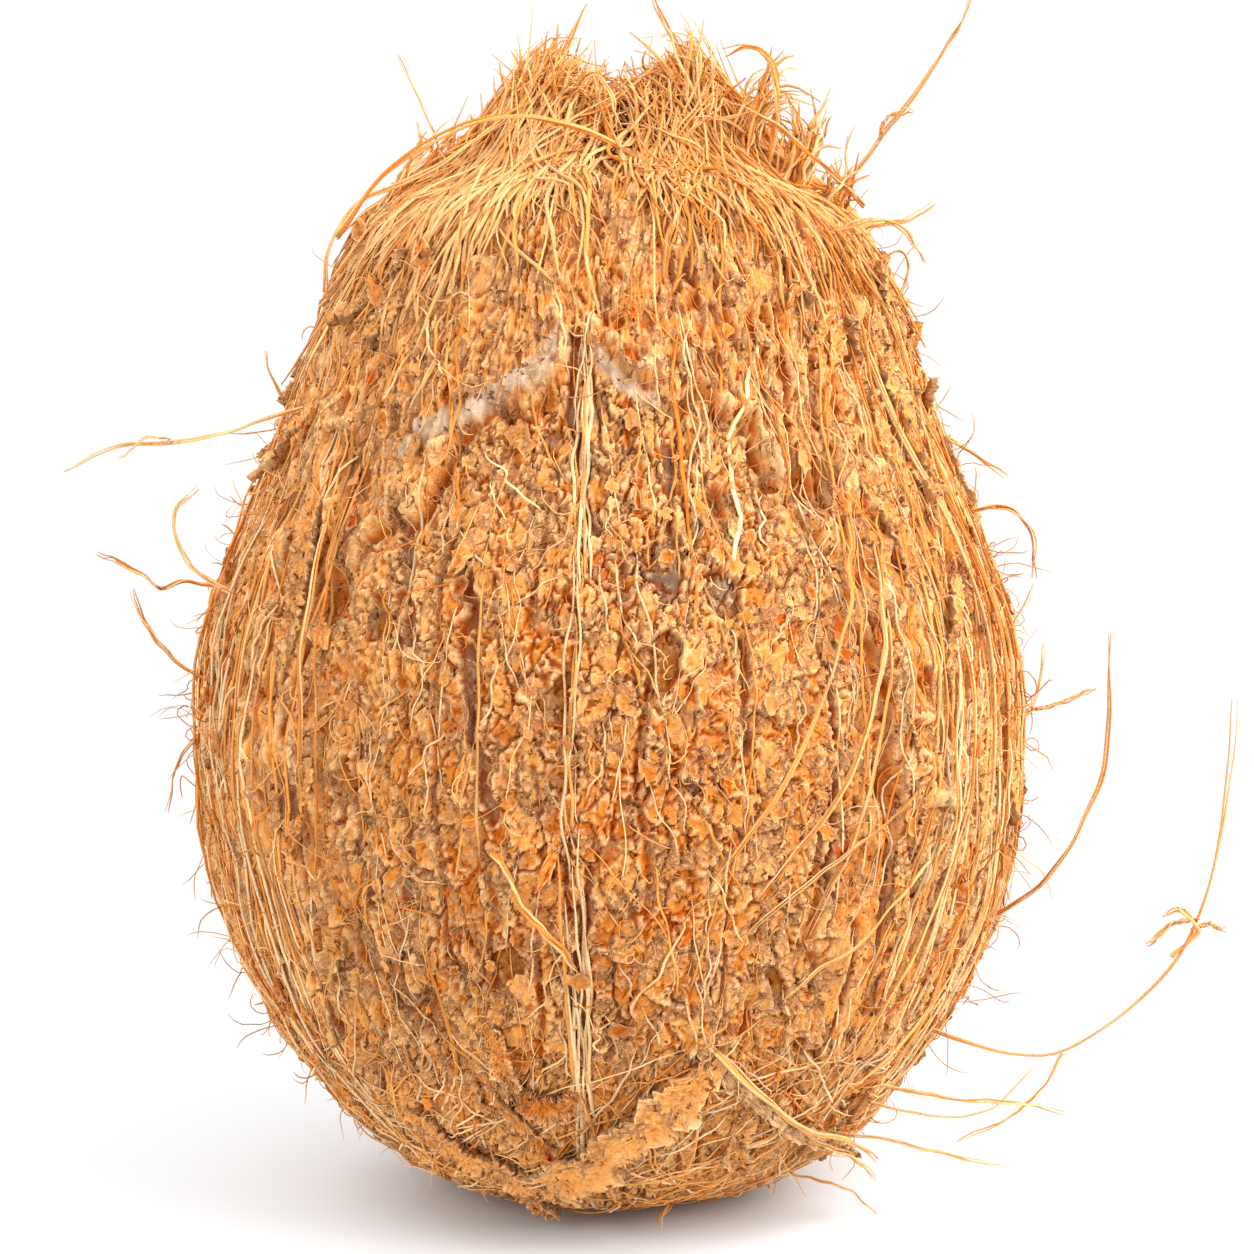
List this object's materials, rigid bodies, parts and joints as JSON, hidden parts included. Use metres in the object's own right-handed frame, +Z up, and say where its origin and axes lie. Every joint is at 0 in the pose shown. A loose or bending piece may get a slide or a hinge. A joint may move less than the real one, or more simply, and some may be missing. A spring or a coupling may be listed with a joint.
{
  "type": "semi-husked coconut",
  "caption": "Upright egg-shaped coconut in a flaky coat of leftover husk, with a two-peaked tuft of coir at the crown, torn husk strips and stray fibres, standing on a small flat spot.",
  "frame": {"origin": "centre of the small flat spot that the coconut stands on", "axes": "+Z up along the nut's axis to the tuft, -Y the front with the peeled panel, +X to the right seen from the front"},
  "size_m": [0.156, 0.1241, 0.1658],
  "materials": {
    "husk": "matt dry coconut husk, flaky and fibrous, orange tan with pale straw strands"
  },
  "bodies": {
    "root": {"coconut": "husk"}
  },
  "joints": []
}
